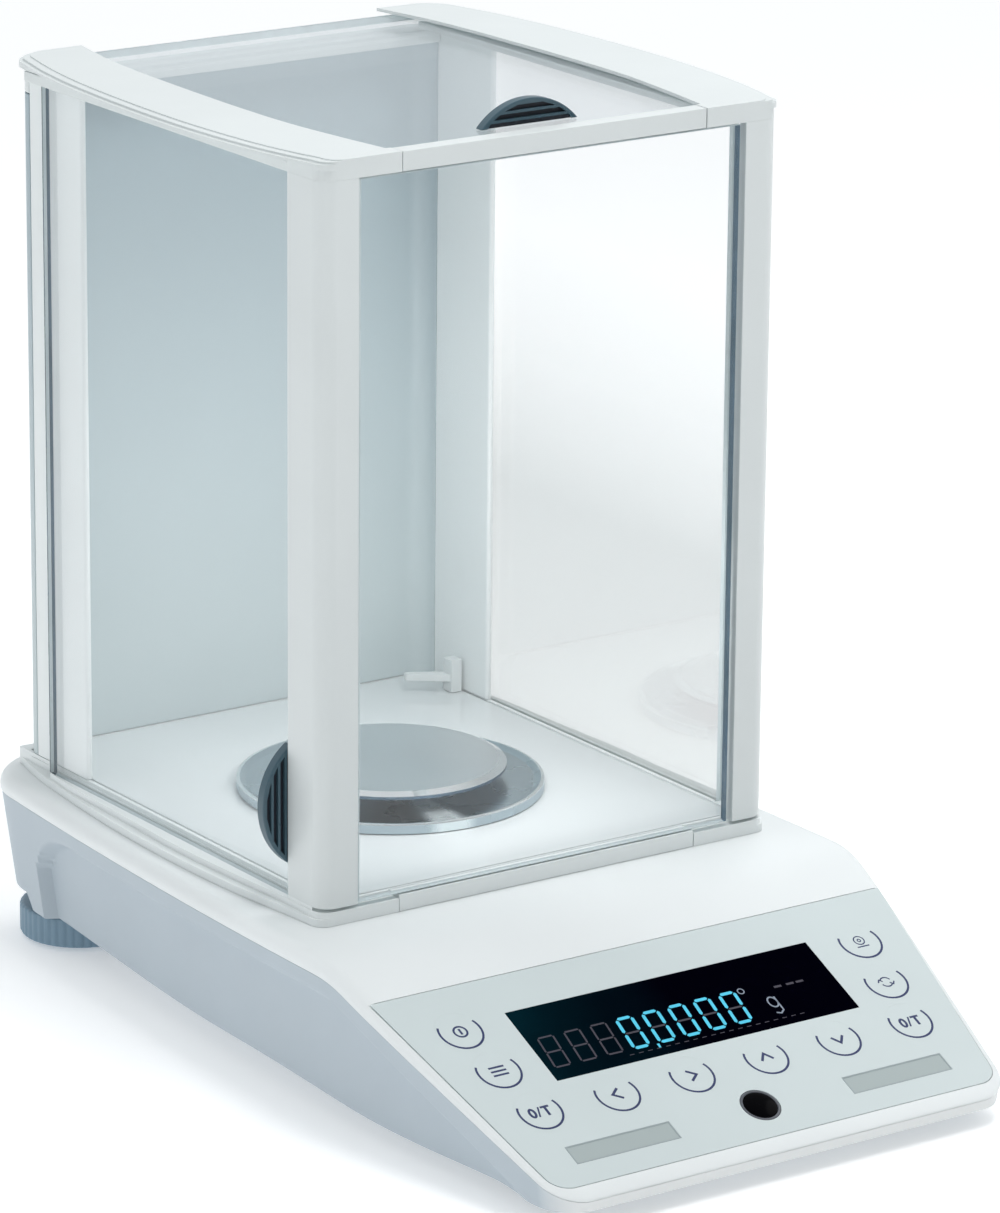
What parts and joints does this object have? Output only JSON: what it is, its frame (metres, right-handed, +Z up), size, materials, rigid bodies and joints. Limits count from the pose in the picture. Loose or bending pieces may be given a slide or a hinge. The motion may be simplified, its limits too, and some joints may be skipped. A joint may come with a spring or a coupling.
{
  "type": "analytical balance",
  "caption": "Laboratory balance: wedge housing with keypad and display slope, glass draft shield with sliding doors round a steel pan on a force-compensation cell, levelling feet.",
  "frame": {"origin": "on the ground at the centre of the footprint", "axes": "+Z up, +Y to the rear, +X to the operator's right"},
  "size_m": [0.213, 0.351, 0.323],
  "materials": {
    "housing_white": "painted, fine satin",
    "housing_shade": "fine satin, cool grey white",
    "shield_white": "satin",
    "chamber_wall": "satin",
    "chamber_floor": "glossy",
    "foil": "printed film, satin",
    "key": "film dome, satin",
    "display": "dark filter window",
    "tube": "dark glassy",
    "vial": "glossy dome",
    "label": "blank printed label",
    "board": "solder resist",
    "foot": "fluted, satin",
    "rubber": "matt",
    "glass": "clear float glass",
    "handle": "ribbed, satin",
    "pan": "satin, bright rim",
    "tray": "polished",
    "steel": "turned",
    "alloy": "machined",
    "copper": "enamelled winding",
    "brass": "turned",
    "black": "moulded"
  },
  "bodies": {
    "housing": {"lower_casing": "housing_shade", "upper_casing": "housing_white", "control_foil": "foil", "display_window": "display", "display_module": "tube", "level_vial": "vial", "left_label": "label", "right_label": "label", "key_board": "board", "main_board": "board", "left_front_foot": "rubber", "right_front_foot": "rubber", "shield_base": "shield_white", "front_top_bar": "shield_white", "front_bottom_bar": "shield_white", "rear_top_bar": "shield_white", "left_front_post": "shield_white", "right_front_post": "shield_white", "left_rear_column": "shield_white", "right_rear_column": "shield_white", "left_top_rail": "shield_white", "right_top_rail": "shield_white", "left_top_cap": "shield_white", "right_top_cap": "shield_white", "back_panel": "chamber_wall", "chamber_floor": "chamber_floor", "front_glass": "glass", "serial_port": "steel", "cell_base": "alloy", "magnet_pot": "alloy", "calibration_motor": "black", "power_jack": "black"},
    "left_door": {"left_door_glass": "glass", "left_door_handle": "handle"},
    "right_door": {"right_door_glass": "glass", "right_door_handle": "handle"},
    "top_door": {"top_door_glass": "glass", "top_door_handle": "handle"},
    "pan_stem": {"pan_carrier": "steel"},
    "pan": {"weighing_pan": "pan"},
    "tray": {"drip_tray": "tray"},
    "latch": {"shield_latch": "shield_white"},
    "beam": {"cell_beam": "alloy", "coil_former": "copper"},
    "calibration": {"calibration_weight": "brass", "calibration_lifter": "alloy"},
    "left_pad": {"left_foot_pad": "rubber"},
    "left_wheel": {"left_foot_wheel": "foot"},
    "right_pad": {"right_foot_pad": "rubber"},
    "right_wheel": {"right_foot_wheel": "foot"},
    "key_power": {"key_power": "key"},
    "key_menu": {"key_menu": "key"},
    "key_tare_left": {"key_tare_left": "key"},
    "key_left": {"key_left": "key"},
    "key_right": {"key_right": "key"},
    "key_up": {"key_up": "key"},
    "key_down": {"key_down": "key"},
    "key_print": {"key_print": "key"},
    "key_adjust": {"key_adjust": "key"},
    "key_tare_right": {"key_tare_right": "key"}
  },
  "joints": [
    {"name": "left_door_slide", "type": "slide", "parent": "housing", "child": "left_door", "axis": [0, 1, 0], "range_m": [0, 0.12]},
    {"name": "right_door_slide", "type": "slide", "parent": "housing", "child": "right_door", "axis": [0, 1, 0], "range_m": [0, 0.12]},
    {"name": "top_door_slide", "type": "slide", "parent": "housing", "child": "top_door", "axis": [0, 1, 0], "range_m": [0, 0.12]},
    {"name": "key_power_press", "type": "slide", "parent": "housing", "child": "key_power", "axis": [0, 0.4176, -0.9087], "range_m": [0, 0.0004], "stiffness_N_per_m": 6000},
    {"name": "key_menu_press", "type": "slide", "parent": "housing", "child": "key_menu", "axis": [0, 0.4176, -0.9087], "range_m": [0, 0.0004], "stiffness_N_per_m": 6000},
    {"name": "key_tare_left_press", "type": "slide", "parent": "housing", "child": "key_tare_left", "axis": [0, 0.4176, -0.9087], "range_m": [0, 0.0004], "stiffness_N_per_m": 6000},
    {"name": "key_left_press", "type": "slide", "parent": "housing", "child": "key_left", "axis": [0, 0.4176, -0.9087], "range_m": [0, 0.0004], "stiffness_N_per_m": 6000},
    {"name": "key_right_press", "type": "slide", "parent": "housing", "child": "key_right", "axis": [0, 0.4176, -0.9087], "range_m": [0, 0.0004], "stiffness_N_per_m": 6000},
    {"name": "key_up_press", "type": "slide", "parent": "housing", "child": "key_up", "axis": [0, 0.4176, -0.9087], "range_m": [0, 0.0004], "stiffness_N_per_m": 6000},
    {"name": "key_down_press", "type": "slide", "parent": "housing", "child": "key_down", "axis": [0, 0.4176, -0.9087], "range_m": [0, 0.0004], "stiffness_N_per_m": 6000},
    {"name": "key_print_press", "type": "slide", "parent": "housing", "child": "key_print", "axis": [0, 0.4176, -0.9087], "range_m": [0, 0.0004], "stiffness_N_per_m": 6000},
    {"name": "key_adjust_press", "type": "slide", "parent": "housing", "child": "key_adjust", "axis": [0, 0.4176, -0.9087], "range_m": [0, 0.0004], "stiffness_N_per_m": 6000},
    {"name": "key_tare_right_press", "type": "slide", "parent": "housing", "child": "key_tare_right", "axis": [0, 0.4176, -0.9087], "range_m": [0, 0.0004], "stiffness_N_per_m": 6000},
    {"name": "pan_stem_travel", "type": "slide", "parent": "housing", "child": "pan_stem", "axis": [0, 0, 1], "range_m": [-0.0002, 0.0002], "stiffness_N_per_m": 20000, "springref_m": 0.00006},
    {"name": "pan_lift", "type": "slide", "parent": "pan_stem", "child": "pan", "axis": [0, 0, 1], "range_m": [0, 0.12]},
    {"name": "tray_lift", "type": "slide", "parent": "housing", "child": "tray", "axis": [0, 0, 1], "range_m": [0, 0.004]},
    {"name": "beam_tilt", "type": "hinge", "parent": "housing", "child": "beam", "pos_m": [0, 0.076, 0.047], "axis": [1, 0, 0], "range_deg": [-0.6, 0.6], "stiffness_Nm_per_rad": 4},
    {"name": "calibration_lower", "type": "slide", "parent": "housing", "child": "calibration", "axis": [0, 0, 1], "range_m": [-0.0015, 0]},
    {"name": "latch_turn", "type": "hinge", "parent": "housing", "child": "latch", "pos_m": [0.0786, 0.133, 0.072], "axis": [0, 0, 1], "range_deg": [0, 80]},
    {"name": "left_foot_height", "type": "slide", "parent": "housing", "child": "left_pad", "axis": [0, 0, 1], "range_m": [0, 0.0051]},
    {"name": "left_foot_turn", "type": "hinge", "parent": "left_pad", "child": "left_wheel", "pos_m": [-0.07, 0.1465, 0.006], "axis": [0, 0, 1], "range_deg": [0, 1440]},
    {"name": "right_foot_height", "type": "slide", "parent": "housing", "child": "right_pad", "axis": [0, 0, 1], "range_m": [0, 0.0051]},
    {"name": "right_foot_turn", "type": "hinge", "parent": "right_pad", "child": "right_wheel", "pos_m": [0.07, 0.1465, 0.006], "axis": [0, 0, 1], "range_deg": [0, 1440]}
  ],
  "couplings": [
    {"joint": "beam_tilt", "follows": "pan_stem_travel", "rad_per_m": -48.78},
    {"joint": "left_foot_height", "follows": "left_foot_turn", "m_per_rad": 0.00019894},
    {"joint": "right_foot_height", "follows": "right_foot_turn", "m_per_rad": 0.00019894}
  ]
}
